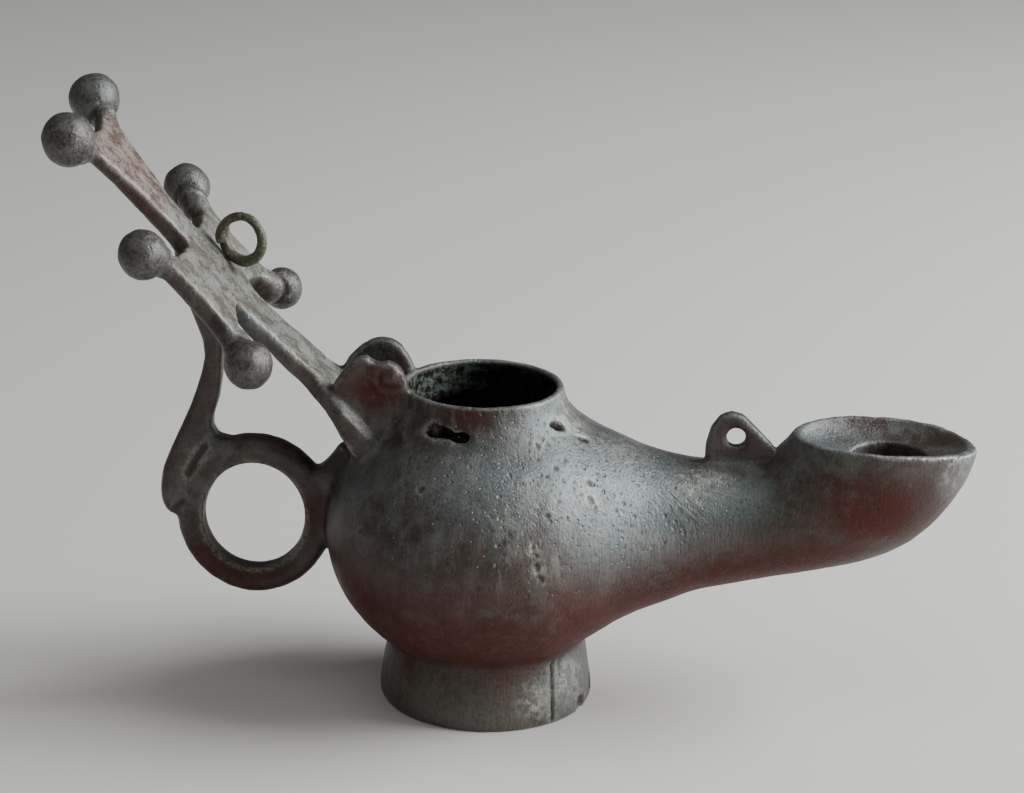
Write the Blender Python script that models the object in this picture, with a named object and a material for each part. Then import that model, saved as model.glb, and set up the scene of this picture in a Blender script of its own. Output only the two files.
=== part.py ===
import math

import bmesh
import bpy
from mathutils import Matrix, Vector

# Lengths are millimetres and are turned into metres where points are made.
# X runs towards the spout, Y away from the near side, Z up from the floor.
# Positions are measured from the axis of the foot, and the last step centres the whole lamp on X.

MM = 0.001
AROUND = 40
INSIDE_AROUND = 24

BODY_X = -0.7
BODY_Z = 36.0
BODY_R = 32.4
BODY_UP = 28.5
BODY_DOWN = 29.3
WALL = 2.2

COLLAR_X = -2.0
COLLAR_R = 16.3
COLLAR_TOP = 66.1
COLLAR_WALL = 1.5

FOOT_X = -0.2
FOOT_R = 21.6
FOOT_WALL = 2.8
FOOT_TOP = 13.5

RIM_X = 78.25
RIM_Z = 57.9
RIM_LONG = 18.15
RIM_WIDE = 12.5
RIM_TILT = 0.035
RIM_DROOP = 1.3
BOWL_DEPTH = 4.2
BOWL_LIP = 1.2
WICK_X = 79.0
WICK_LONG = 7.4
WICK_WIDE = 6.2

HANDLE_X = -47.5
HANDLE_Z = 36.9
HANDLE_WIDE = 13.0
HANDLE_TALL = 14.0
HANDLE_R = 3.1

CROSS = Vector((-54.85, 0.0, 87.2))
CROSS_LEAN = math.radians(48.2)
CROSS_TOP = 1.6
CROSS_BOTTOM = -2.2
CROSS_BOW = 0.018
CROSS_THINNER = 0.9
CROSS_EDGE = 0.7

RING_R = 4.3
RING_WIRE = 1.05
RING_Y = 4.5
RING_GAP = 0.3

UP_ARM = Vector((-math.cos(CROSS_LEAN), 0.0, math.sin(CROSS_LEAN)))
OFF_FACE = Vector((math.sin(CROSS_LEAN), 0.0, math.cos(CROSS_LEAN)))

scene = bpy.context.scene
for found in list(bpy.data.objects):
    bpy.data.objects.remove(found)
cutters = bpy.data.collections.new("cutters")
scene.collection.children.link(cutters)
cutters.hide_render = True


def place(name, mesh):
    made = bpy.data.objects.new(name, mesh)
    scene.collection.objects.link(made)
    return made


def from_bmesh(name, bm):
    bmesh.ops.remove_doubles(bm, verts=bm.verts, dist=1e-7)
    bmesh.ops.recalc_face_normals(bm, faces=bm.faces)
    mesh = bpy.data.meshes.new(name)
    bm.to_mesh(mesh)
    bm.free()
    return place(name, mesh)


def evaluated_mesh(thing, name):
    graph = bpy.context.evaluated_depsgraph_get()
    mesh = bpy.data.meshes.new_from_object(thing.evaluated_get(graph))
    mesh.name = name
    return mesh


def weld(mesh, turn_out=False):
    bm = bmesh.new()
    bm.from_mesh(mesh)
    bmesh.ops.remove_doubles(bm, verts=bm.verts, dist=1e-6)
    if turn_out:
        bmesh.ops.recalc_face_normals(bm, faces=bm.faces)
    bm.to_mesh(mesh)
    bm.free()
    return mesh


def combine(base, others, operation):
    """Joins or cuts the base with each of the others and takes them out of the scene."""
    for other in others:
        step = base.modifiers.new(operation.lower(), "BOOLEAN")
        step.operation = operation
        step.solver = "EXACT"
        step.object = other
        mesh = evaluated_mesh(base, base.name)
        base.modifiers.clear()
        old = base.data
        base.data = weld(mesh)
        bpy.data.meshes.remove(old)
        bpy.data.objects.remove(other)
    return base


def smooth_through(points, steps):
    """Points on a curve through these points, with this many steps between each pair."""
    out = []
    last = len(points) - 1
    for i in range(last):
        before = points[max(i - 1, 0)]
        start = points[i]
        end = points[i + 1]
        after = points[min(i + 2, last)]
        for k in range(steps):
            t = k / steps
            row = []
            for a, b, c, d in zip(before, start, end, after):
                row.append(
                    b
                    + 0.5 * t * (c - a)
                    + t * t * (a - 2.5 * b + 2 * c - 0.5 * d)
                    + t * t * t * 0.5 * (3 * b - a - 3 * c + d)
                )
            out.append(tuple(row))
    out.append(points[-1])
    return out


def loft(name, stations, around):
    """A closed solid through upright ovals, each given by its upper point, lower point and half width."""
    bm = bmesh.new()
    rings = []
    for top_x, top_z, low_x, low_z, half in stations:
        middle = Vector(((top_x + low_x) / 2, 0.0, (top_z + low_z) / 2))
        rise = Vector((top_x, 0.0, top_z)) - middle
        ring = []
        for k in range(around):
            turn = 2 * math.pi * k / around
            point = middle + rise * math.cos(turn) + Vector((0.0, half * math.sin(turn), 0.0))
            ring.append(bm.verts.new(point * MM))
        rings.append(ring)
    for first, second in zip(rings, rings[1:]):
        for k in range(around):
            n = (k + 1) % around
            bm.faces.new((first[k], first[n], second[n], second[k]))
    bm.faces.new(rings[0])
    bm.faces.new(list(reversed(rings[-1])))
    return from_bmesh(name, bm)


def turned(name, profile, centre_x):
    """A closed solid turned about a vertical axis from (radius, height) points."""
    bm = bmesh.new()
    points = [bm.verts.new(Vector((r, 0.0, z)) * MM) for r, z in profile]
    edges = [bm.edges.new(pair) for pair in zip(points, points[1:] + points[:1])]
    bmesh.ops.spin(
        bm,
        geom=points + edges,
        cent=(0.0, 0.0, 0.0),
        axis=(0.0, 0.0, 1.0),
        angle=2 * math.pi,
        steps=AROUND,
        use_merge=True,
    )
    bmesh.ops.translate(bm, verts=bm.verts, vec=(centre_x * MM, 0.0, 0.0))
    return from_bmesh(name, bm)


def pillar(name, long, wide, low, high, centre_x, around=AROUND):
    """An upright cylinder of oval plan."""
    bm = bmesh.new()
    bmesh.ops.create_cone(
        bm, cap_ends=True, segments=around, radius1=1.0, radius2=1.0, depth=1.0
    )
    size = Matrix.Diagonal((long * MM, wide * MM, (high - low) * MM, 1.0))
    spot = Matrix.Translation(Vector((centre_x, 0.0, (low + high) / 2)) * MM)
    bmesh.ops.transform(bm, matrix=spot @ size, verts=bm.verts)
    return from_bmesh(name, bm)


def ball(name, centre, radii, across=14, down=9):
    bm = bmesh.new()
    bmesh.ops.create_uvsphere(bm, u_segments=across, v_segments=down, radius=1.0)
    size = Matrix.Diagonal((radii[0] * MM, radii[1] * MM, radii[2] * MM, 1.0))
    spot = Matrix.Translation(Vector(centre) * MM)
    bmesh.ops.transform(bm, matrix=spot @ size, verts=bm.verts)
    return from_bmesh(name, bm)


def rod(name, start, end, radius_start, radius_end, around=10):
    """A round tapering rod between two points."""
    start = Vector(start)
    end = Vector(end)
    bm = bmesh.new()
    bmesh.ops.create_cone(
        bm,
        cap_ends=True,
        segments=around,
        radius1=radius_start * MM,
        radius2=radius_end * MM,
        depth=(end - start).length * MM,
    )
    turn = (end - start).to_track_quat("Z", "Y").to_matrix().to_4x4()
    spot = Matrix.Translation((start + end) / 2 * MM)
    bmesh.ops.transform(bm, matrix=spot @ turn, verts=bm.verts)
    return from_bmesh(name, bm)


def plate(name, outline, low, high, edge, frame):
    """A flat plate of this outline between two heights, with rounded edges, set by a frame of axes."""
    shape = bpy.data.curves.new(name, "CURVE")
    shape.dimensions = "2D"
    shape.fill_mode = "BOTH"
    shape.extrude = ((high - low) / 2 - edge) * MM
    shape.bevel_depth = edge * MM
    shape.bevel_resolution = 1
    shape.offset = -edge * MM
    spline = shape.splines.new("POLY")
    spline.points.add(len(outline) - 1)
    for point, (a, b) in zip(spline.points, outline):
        point.co = (a * MM, b * MM, 0.0, 1.0)
    spline.use_cyclic_u = True
    thing = place(name + "_curve", shape)
    mesh = weld(evaluated_mesh(thing, name), turn_out=True)
    bpy.data.objects.remove(thing)
    mesh.transform(frame @ Matrix.Translation((0.0, 0.0, (low + high) / 2 * MM)))
    return place(name, weld(mesh, turn_out=True))


def tube_ring(name, centre, wide, tall, radius, steps, resolution):
    """An oval ring of round rod, standing in the XZ plane."""
    shape = bpy.data.curves.new(name, "CURVE")
    shape.dimensions = "3D"
    shape.bevel_depth = radius * MM
    shape.bevel_resolution = resolution
    spline = shape.splines.new("POLY")
    spline.points.add(steps - 1)
    for k, point in enumerate(spline.points):
        turn = 2 * math.pi * k / steps
        x = centre[0] + wide * math.cos(turn)
        z = centre[2] + tall * math.sin(turn)
        point.co = (x * MM, centre[1] * MM, z * MM, 1.0)
    spline.use_cyclic_u = True
    thing = place(name + "_curve", shape)
    mesh = weld(evaluated_mesh(thing, name), turn_out=True)
    bpy.data.objects.remove(thing)
    return place(name, mesh)


def mirrored(half):
    """A whole outline from the half with v above zero, both given as (u, v) points."""
    return half + [(u, -v) for u, v in reversed(half) if v > 0.01]


# Upright ovals of the globe, narrowing with its circle in plan.
def globe(inset, first, last, count):
    out = []
    for k in range(count + 1):
        turn = first + (last - first) * k / count
        x = BODY_X - (BODY_R - inset) * math.cos(turn)
        part = math.sin(turn)
        top = BODY_Z + (BODY_UP - inset) * part
        low = BODY_Z - (BODY_DOWN - inset) * part
        out.append((x, top, x, low, (BODY_R - inset) * part))
    return out


# The spout leaves the globe where the globe's own circle still runs on, then turns up to the oval rim.
rim_left = (RIM_X - RIM_LONG, RIM_Z + RIM_LONG * RIM_TILT)
rim_right = (RIM_X + RIM_LONG, RIM_Z - RIM_LONG * RIM_TILT)
SPOUT = [
    (21.0, 57.2, 21.0, 14.8, 24.2),
    (26.0, 55.4, 26.0, 18.0, 20.4),
    (31.0, 53.3, 31.0, 20.5, 17.5),
    (36.0, 52.0, 36.0, 22.4, 15.4),
    (41.7, 51.3, 41.7, 24.8, 13.9),
    (48.5, 51.3, 48.5, 26.4, 13.1),
    (55.4, 52.5, 56.6, 28.1, 12.7),
    (57.0, 54.3, 66.0, 30.0, 12.6),
    (58.2, 56.0, 75.8, 32.3, 12.6),
    (59.1, 57.2, 84.6, 36.7, 12.6),
    (59.6, 58.0, 91.2, 43.5, 12.6),
    (59.9, 58.4, 95.2, 50.9, 12.55),
    (*rim_left, *rim_right, RIM_WIDE),
]
GLOBE_END = 0.7 * math.pi
outer = globe(0.0, 0.06 * math.pi, GLOBE_END, 11)[:-1]
outer = [(BODY_X - BODY_R, BODY_Z + 1.0, BODY_X - BODY_R, BODY_Z - 1.0, 1.0)] + outer
# More rings where the spout turns up.
SPOUT_RINGS = smooth_through(SPOUT[:8], 1)[:-1] + smooth_through(SPOUT[7:], 2)
lamp = loft("lamp", outer + SPOUT_RINGS, AROUND)

collar = turned(
    "collar",
    [
        (COLLAR_R - COLLAR_WALL, COLLAR_TOP),
        (COLLAR_R, COLLAR_TOP),
        (COLLAR_R + 0.2, COLLAR_TOP - 1.3),
        (COLLAR_R + 0.7, COLLAR_TOP - 3.1),
        (COLLAR_R + 1.7, COLLAR_TOP - 4.9),
        (COLLAR_R + 3.7, COLLAR_TOP - 7.0),
        (COLLAR_R - COLLAR_WALL - 1.0, COLLAR_TOP - 9.5),
    ],
    COLLAR_X,
)
foot = turned(
    "foot",
    [
        (FOOT_R - FOOT_WALL, 0.0),
        (FOOT_R - 0.5, 0.0),
        (FOOT_R, 0.9),
        (FOOT_R - 0.1, 3.2),
        (FOOT_R - 0.7, 7.7),
        (FOOT_R - 1.2, 10.4),
        (FOOT_R - 1.5, FOOT_TOP),
        (FOOT_R - FOOT_WALL - 1.2, FOOT_TOP),
        (FOOT_R - FOOT_WALL - 0.8, 7.0),
    ],
    FOOT_X,
)
handle = tube_ring(
    "handle", (HANDLE_X, 0.0, HANDLE_Z), HANDLE_WIDE, HANDLE_TALL, HANDLE_R, 26, 3
)

# Plates standing in the XZ plane are drawn as (x, z) and then stood up.
UPRIGHT = Matrix(((1, 0, 0, 0), (0, 0, -1, 0), (0, 1, 0, 0), (0, 0, 0, 1)))
strut = plate(
    "strut",
    [
        (-63.5, 94.5),
        (-61.6, 84.5),
        (-59.0, 78.0),
        (-57.3, 73.5),
        (-57.1, 70.0),
        (-57.9, 66.5),
        (-60.0, 60.4),
        (-62.1, 55.4),
        (-64.2, 50.7),
        (-65.8, 46.5),
        (-66.5, 42.0),
        (-66.2, 38.8),
        (-64.6, 36.6),
        (-62.0, 36.3),
        (-60.5, 41.0),
        (-57.5, 46.0),
        (-52.0, 50.0),
        (-50.5, 52.5),
        (-54.7, 53.4),
        (-55.8, 55.4),
        (-55.6, 57.5),
        (-54.4, 61.5),
        (-53.8, 66.0),
        (-53.6, 71.0),
        (-53.0, 76.0),
        (-50.8, 83.0),
    ],
    -2.6,
    2.6,
    1.1,
    UPRIGHT,
)
lower_arm = plate(
    "lower_arm",
    [
        (-54.0, 86.5),
        (-45.0, 78.8),
        (-37.6, 72.1),
        (-28.7, 64.0),
        (-22.8, 58.0),
        (-17.5, 50.0),
        (-25.5, 46.0),
        (-28.9, 56.1),
        (-33.0, 61.9),
        (-37.6, 67.0),
        (-43.1, 72.5),
        (-48.5, 78.0),
    ],
    -7.1,
    7.1,
    CROSS_EDGE,
    UPRIGHT,
)
LUG_IN = 5.9
LUG_OUT = 8.8
near_lug = plate(
    "near_lug",
    [
        (-32.3, 63.0),
        (-30.6, 67.7),
        (-29.0, 70.1),
        (-27.3, 72.0),
        (-25.7, 73.1),
        (-24.2, 73.3),
        (-23.2, 72.4),
        (-21.9, 72.0),
        (-20.0, 72.3),
        (-18.4, 71.6),
        (-17.1, 70.3),
        (-16.4, 68.5),
        (-15.9, 65.0),
        (-15.7, 58.0),
        (-20.0, 55.0),
        (-26.0, 56.0),
    ],
    LUG_IN,
    LUG_OUT,
    0.5,
    UPRIGHT,
)
far_lug = plate(
    "far_lug",
    [
        (-32.5, 62.6),
        (-29.3, 68.3),
        (-27.2, 70.5),
        (-25.0, 72.0),
        (-22.6, 72.6),
        (-20.5, 72.2),
        (-18.7, 71.0),
        (-17.3, 69.1),
        (-16.3, 67.2),
        (-15.8, 65.0),
        (-15.7, 58.0),
        (-20.0, 55.0),
        (-26.0, 56.0),
    ],
    -LUG_OUT,
    -LUG_IN,
    0.5,
    UPRIGHT,
)
# A fillet of metal fills the corner between the finger ring, the lower arm and the globe.
web = plate(
    "web",
    [
        (-36.3, 45.9),
        (-33.6, 48.1),
        (-31.9, 50.0),
        (-30.3, 52.4),
        (-25.0, 52.0),
        (-26.0, 43.0),
        (-33.0, 41.0),
    ],
    -2.7,
    2.7,
    1.0,
    UPRIGHT,
)
spout_lug = plate(
    "spout_lug",
    [
        (42.4, 47.3),
        (42.9, 55.4),
        (43.7, 58.6),
        (45.4, 61.0),
        (47.6, 61.9),
        (49.9, 61.3),
        (53.4, 58.0),
        (56.2, 55.0),
        (57.8, 52.5),
        (58.0, 47.3),
    ],
    -1.4,
    1.4,
    0.5,
    UPRIGHT,
)

# The cross is drawn flat, with u up its long arm and v across, then leaned back on its middle.
FACE = Matrix.Translation(CROSS * MM) @ Matrix(
    (
        (UP_ARM.x, 0.0, OFF_FACE.x, 0.0),
        (0.0, -1.0, 0.0, 0.0),
        (UP_ARM.z, 0.0, OFF_FACE.z, 0.0),
        (0.0, 0.0, 0.0, 1.0),
    )
)
cross = plate(
    "cross",
    mirrored(
        [
            (35.8, 0.0),
            (36.4, 4.5),
            (37.6, 9.0),
            (38.6, 13.5),
            (35.6, 13.9),
            (33.0, 11.7),
            (29.0, 10.0),
            (24.4, 8.0),
            (19.0, 6.4),
            (13.0, 5.2),
            (9.6, 5.0),
            (8.3, 6.4),
            (8.5, 11.0),
            (9.2, 16.0),
            (10.6, 20.4),
            (13.2, 24.2),
            (11.0, 24.6),
            (6.0, 22.4),
            (0.0, 21.8),
            (-6.0, 22.4),
            (-11.0, 24.6),
            (-13.2, 24.2),
            (-10.6, 20.4),
            (-8.7, 16.4),
            (-7.2, 12.0),
            (-6.6, 8.2),
            (-8.2, 6.4),
            (-12.0, 6.2),
            (-17.0, 6.6),
        ]
    ),
    CROSS_BOTTOM,
    CROSS_TOP,
    CROSS_EDGE,
    FACE,
)


# The upper arm leans a little further forward than the rest, and is thinner behind.
for point in cross.data.vertices:
    along = (point.co / MM - CROSS).dot(UP_ARM)
    behind = (point.co / MM - CROSS).dot(OFF_FACE) < 0.0
    thinner = CROSS_THINNER * min(max(along - 16.0, 0.0) / 12.0, 1.0) if behind else 0.0
    point.co += OFF_FACE * ((CROSS_BOW * max(along, 0.0) + thinner) * MM)


def on_cross(u, v, off=0.0):
    return CROSS + UP_ARM * u + OFF_FACE * off + Vector((0.0, v, 0.0))


# Each knob: how far its middle is up the arm, across and off the middle plane, its radius, and where its neck starts.
KNOBS = [
    (38.8, -15.7, 0.7, 5.3, 34.0, -10.6),
    (40.2, 15.8, 0.7, 5.2, 34.4, 10.6),
    (14.2, -26.2, -0.4, 4.9, 9.4, -19.2),
    (14.3, 26.2, -0.4, 4.9, 9.4, 19.2),
    (-14.5, -25.8, 0.2, 4.75, -9.4, -19.2),
    (-14.3, 25.8, 0.2, 4.35, -9.4, 19.2),
]
knobs = []
for u, v, off, radius, from_u, from_v in KNOBS:
    centre = on_cross(u, v, off)
    neck = on_cross(from_u, from_v, off - 0.2)
    knobs.append(ball("knob", centre, (radius, radius, radius)))
    knobs.append(rod("neck", neck, centre, 2.3, 2.9))

combine(
    lamp,
    [collar, foot, handle, strut, lower_arm, web, near_lug, far_lug, spout_lug, cross] + knobs,
    "UNION",
)

# The oil chamber, then the openings that lead into it.
CHANNEL = [
    (21.0, 54.9, 21.0, 15.6, 22.2),
    (26.0, 52.9, 26.0, 20.2, 18.2),
    (31.0, 50.9, 31.0, 22.6, 15.2),
    (36.0, 49.7, 36.0, 24.6, 13.1),
    (41.7, 49.0, 41.7, 26.9, 11.6),
    (48.5, 49.0, 48.5, 28.6, 10.8),
    (55.0, 49.6, 55.0, 29.9, 10.4),
    (64.0, 51.4, 64.0, 31.5, 10.0),
    (74.0, 52.0, 74.0, 34.4, 9.6),
    (82.0, 52.0, 82.0, 38.6, 8.2),
    (87.0, 51.6, 87.0, 43.0, 6.0),
    (89.6, 50.4, 89.6, 46.4, 2.6),
]
inner = globe(WALL, 0.08 * math.pi, GLOBE_END, 9)[:-1]
inner = [
    (BODY_X - BODY_R + WALL, BODY_Z + 1.0, BODY_X - BODY_R + WALL, BODY_Z - 1.0, 1.0)
] + inner
chamber = loft("chamber", inner + CHANNEL, INSIDE_AROUND)
filling = pillar(
    "filling",
    COLLAR_R - COLLAR_WALL,
    COLLAR_R - COLLAR_WALL,
    50.0,
    COLLAR_TOP + 3.0,
    COLLAR_X,
)
bowl_long = RIM_LONG - BOWL_LIP
bowl_wide = RIM_WIDE - BOWL_LIP
bowl = ball(
    "bowl",
    (RIM_X, 0.0, RIM_Z + 0.6),
    (bowl_long * 1.01, bowl_wide * 1.01, BOWL_DEPTH + 0.6),
    28,
    8,
)
wick = pillar("wick", WICK_LONG, WICK_WIDE, 48.0, RIM_Z + 4.0, WICK_X, 24)
spout_eye = rod("spout_eye", (48.7, -4.0, 56.8), (48.7, 4.0, 56.8), 2.2, 2.2, 14)
leak_one = ball("leak_one", (-9.0, -17.0, 61.0), (2.6, 3.4, 1.3), 12, 8)
leak_two = ball("leak_two", (-4.9, -17.4, 60.3), (2.1, 3.4, 1.1), 12, 8)
combine(
    lamp,
    [chamber, filling, bowl, wick, spout_eye, leak_one, leak_two],
    "DIFFERENCE",
)

# Both ends of the rim droop, the spout's tip most.
for point in lamp.data.vertices:
    out = (point.co.x / MM - RIM_X) / RIM_LONG
    droop = RIM_DROOP if out > 0.0 else 0.4 * RIM_DROOP
    share = min(max((point.co.z / MM - RIM_Z + 9.0) / 6.0, 0.0), 1.0)
    if out > -1.05:
        point.co.z -= droop * min(abs(out), 1.0) ** 4 * share * MM

# The wire ring stands on the cross, just clear of its face.
ring_off = CROSS_TOP + RING_GAP + RING_R + RING_WIRE
ring_centre = on_cross(1.2, RING_Y, ring_off)
ring = tube_ring(
    "suspension_ring", ring_centre, RING_R, RING_R, RING_WIRE, 26, 1
)

# Centres the whole lamp on X, so that its origin is the middle of its underside.
lamp_x = [v.co.x for v in lamp.data.vertices]
shift = Matrix.Translation((-(min(lamp_x) + max(lamp_x)) / 2, 0.0, 0.0))
for thing in (lamp, ring):
    thing.data.transform(shift)
    weld(thing.data)
    for face in thing.data.polygons:
        face.use_smooth = True
    thing.data.set_sharp_from_angle(angle=math.radians(35))
    print(thing.name, "shift mm", round(shift.translation.x * 1000, 3), len(thing.data.polygons))
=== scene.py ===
import math

import bmesh
import bpy
import numpy as np
from mathutils import Matrix, Vector


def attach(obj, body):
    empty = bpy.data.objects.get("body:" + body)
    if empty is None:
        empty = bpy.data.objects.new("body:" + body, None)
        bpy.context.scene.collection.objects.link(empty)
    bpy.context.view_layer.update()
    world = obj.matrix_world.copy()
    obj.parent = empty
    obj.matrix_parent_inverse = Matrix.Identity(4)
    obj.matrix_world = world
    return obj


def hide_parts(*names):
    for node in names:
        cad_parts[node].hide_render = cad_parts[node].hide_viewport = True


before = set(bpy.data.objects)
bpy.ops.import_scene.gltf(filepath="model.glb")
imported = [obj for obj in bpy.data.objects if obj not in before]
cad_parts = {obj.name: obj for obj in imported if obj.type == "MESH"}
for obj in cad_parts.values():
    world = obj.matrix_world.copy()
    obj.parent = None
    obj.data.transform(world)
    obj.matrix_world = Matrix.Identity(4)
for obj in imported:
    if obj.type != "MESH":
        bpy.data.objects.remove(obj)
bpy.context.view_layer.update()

# Lengths below are millimetres from the axis of the foot, as in the part's source,
# and SHIFT_X brings them to the middle of the lamp's length.
MM = 0.001
SHIFT_X = -5.142

BODY = (-0.7, 0.0, 36.0)
BODY_R = 32.4
INNER_TALL = 27.8
HALF_WALL = 1.1
COLLAR_X = -2.0
COLLAR_R = 16.3
COLLAR_TOP = 66.1
RIM = (78.25, 0.0, 57.9)
RIM_LONG = 18.15
RIM_WIDE = 12.5
RIM_TILT = 0.035
RIM_DROOP = 1.3
WICK = (79.0, 7.4, 6.2)
# The bore of the spout begins at the first X, and its middle is at these heights.
BORE_X = (21.0, 41.7, 64.0, 82.0, 90.0)
BORE_Z = (38.0, 38.0, 41.5, 45.5, 48.5)
LUG = (-24.0, 65.0)
SPOUT_LUG = (49.0, 56.0)
SPOUT_EYE = (48.7, 56.8)
# The finger ring: its middle, half its width and height along its middle line, and their mean.
RING_HANDLE = (-47.5, 36.9)
RING_SPAN = (13.0, 14.0)
RING_MEAN = 13.5
CROSS = np.array((-54.85, 0.0, 87.2))
CROSS_LEAN = math.radians(48.2)
UP_ARM = np.array((-math.cos(CROSS_LEAN), 0.0, math.sin(CROSS_LEAN)))
OFF_FACE = np.array((math.sin(CROSS_LEAN), 0.0, math.cos(CROSS_LEAN)))
# Each knob: up the arm, across, off the middle plane, and its radius.
KNOBS = [
    (38.8, -15.7, 0.7, 5.3),
    (40.2, 15.8, 0.7, 5.2),
    (14.2, -26.2, -0.4, 4.9),
    (14.3, 26.2, -0.4, 4.9),
    (-14.5, -25.8, 0.2, 4.75),
    (-14.3, 25.8, 0.2, 4.35),
]
# How deep the groove below each knob is.
KNOB_GROOVES = (0.22, 0.3, 0.2, 0.35, 0.25, 0.55)

VOXEL = 0.42
MOST_TRIANGLES = 190000

# Helpers for meshes


def on_cross(u, v, off=0.0):
    return CROSS + UP_ARM * u + OFF_FACE * off + np.array((0.0, v, 0.0))


def put_in_scene(name, data):
    thing = bpy.data.objects.new(name, data)
    bpy.context.scene.collection.objects.link(thing)
    return thing


def finish_modifiers(thing):
    """Turns what the modifiers make into the piece's own mesh."""
    graph = bpy.context.evaluated_depsgraph_get()
    made = bpy.data.meshes.new_from_object(thing.evaluated_get(graph))
    old = thing.data
    thing.modifiers.clear()
    thing.data = made
    bpy.data.meshes.remove(old)
    made.name = thing.name


def merged_copy(node, name):
    """A copy of a node's loose triangles, joined into one closed skin."""
    bm = bmesh.new()
    bm.from_mesh(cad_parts[node].data)
    bmesh.ops.remove_doubles(bm, verts=bm.verts, dist=1e-6)
    mesh = bpy.data.meshes.new(name)
    bm.to_mesh(mesh)
    bm.free()
    return put_in_scene(name, mesh)


def even_skin(thing, voxel):
    step = thing.modifiers.new("even skin", "REMESH")
    step.mode = "VOXEL"
    step.voxel_size = voxel * MM
    step.use_smooth_shade = True
    finish_modifiers(thing)


def points_of(mesh):
    flat = np.empty(len(mesh.vertices) * 3, np.float32)
    mesh.vertices.foreach_get("co", flat)
    points = flat.reshape(-1, 3).astype(np.float64) / MM
    points[:, 0] -= SHIFT_X
    return points


def set_points(mesh, points):
    moved = points.copy()
    moved[:, 0] += SHIFT_X
    mesh.vertices.foreach_set("co", (moved * MM).astype(np.float32).ravel())
    mesh.update()


def normals_of(mesh):
    flat = np.empty(len(mesh.vertices) * 3, np.float32)
    mesh.vertex_normals.foreach_get("vector", flat)
    return flat.reshape(-1, 3).astype(np.float64)


def edges_of(mesh):
    flat = np.empty(len(mesh.edges) * 2, np.int32)
    mesh.edges.foreach_get("vertices", flat)
    return flat.reshape(-1, 2)


def spread(values, edges, share, rounds):
    """Evens out values from point to neighbouring point, each by its own share."""
    values = values.copy()
    count = len(values)
    a, b = edges[:, 0], edges[:, 1]
    near = np.bincount(a, minlength=count) + np.bincount(b, minlength=count)
    pull = (share / np.maximum(near, 1))[:, None]
    for _ in range(rounds):
        for k in range(values.shape[1]):
            column = values[:, k]
            total = np.bincount(a, column[b], count) + np.bincount(b, column[a], count)
            column += pull[:, 0] * (total - near * column)
    return values


# Helpers for relief, on arrays of points in millimetres
def fade(value, low, high):
    """0 below low, 1 above high and smooth between them. It also runs downwards."""
    t = np.clip((value - low) / (high - low), 0.0, 1.0)
    return t * t * (3.0 - 2.0 * t)


def chance(cells, seed):
    """A fixed random number from 0 to 1 for each cell of a grid."""
    mixed = cells[..., 0] * 73856093 ^ cells[..., 1] * 19349663 ^ cells[..., 2] * 83492791
    mixed = (mixed ^ (seed * 2654435761)) & 0xFFFFFFFF
    mixed = ((mixed ^ (mixed >> 15)) * 2246822519) & 0xFFFFFFFF
    mixed = ((mixed ^ (mixed >> 13)) * 3266489917) & 0xFFFFFFFF
    return ((mixed ^ (mixed >> 16)) & 0xFFFFFF) / float(0xFFFFFF)


def rolling(points, length, seed):
    """Smooth random hills between -1 and 1, about this many millimetres apart."""
    spot = points / length
    cell = np.floor(spot).astype(np.int64)
    part = spot - cell
    part = part * part * (3.0 - 2.0 * part)
    total = np.zeros(len(points))
    for corner in range(8):
        step = np.array(((corner >> 0) & 1, (corner >> 1) & 1, (corner >> 2) & 1))
        share = np.prod(np.where(step, part, 1.0 - part), axis=1)
        total += share * chance(cell + step, seed)
    return total * 2.0 - 1.0


def pitted(points, spacing, smallest, largest, seed):
    """How deep each point lies in a round pit, from 0 outside to 1 in its middle."""
    cell = np.floor(points / spacing).astype(np.int64)
    deepest = np.zeros(len(points))
    for dx in (-1, 0, 1):
        for dy in (-1, 0, 1):
            for dz in (-1, 0, 1):
                there = cell + np.array((dx, dy, dz))
                spot = np.stack([chance(there, seed + k) for k in (1, 2, 3)], axis=1)
                radius = smallest + (largest - smallest) * chance(there, seed + 4) ** 3
                away = np.linalg.norm(points - (there + spot) * spacing, axis=1)
                deepest = np.maximum(deepest, 1.0 - away / radius)
    return np.clip(deepest, 0.0, 1.0)


def from_ring(x, z):
    """How far outside the middle line of the finger ring each point lies."""
    share = np.hypot((x - RING_HANDLE[0]) / RING_SPAN[0], (z - RING_HANDLE[1]) / RING_SPAN[1])
    return (share - 1.0) * RING_MEAN


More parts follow.
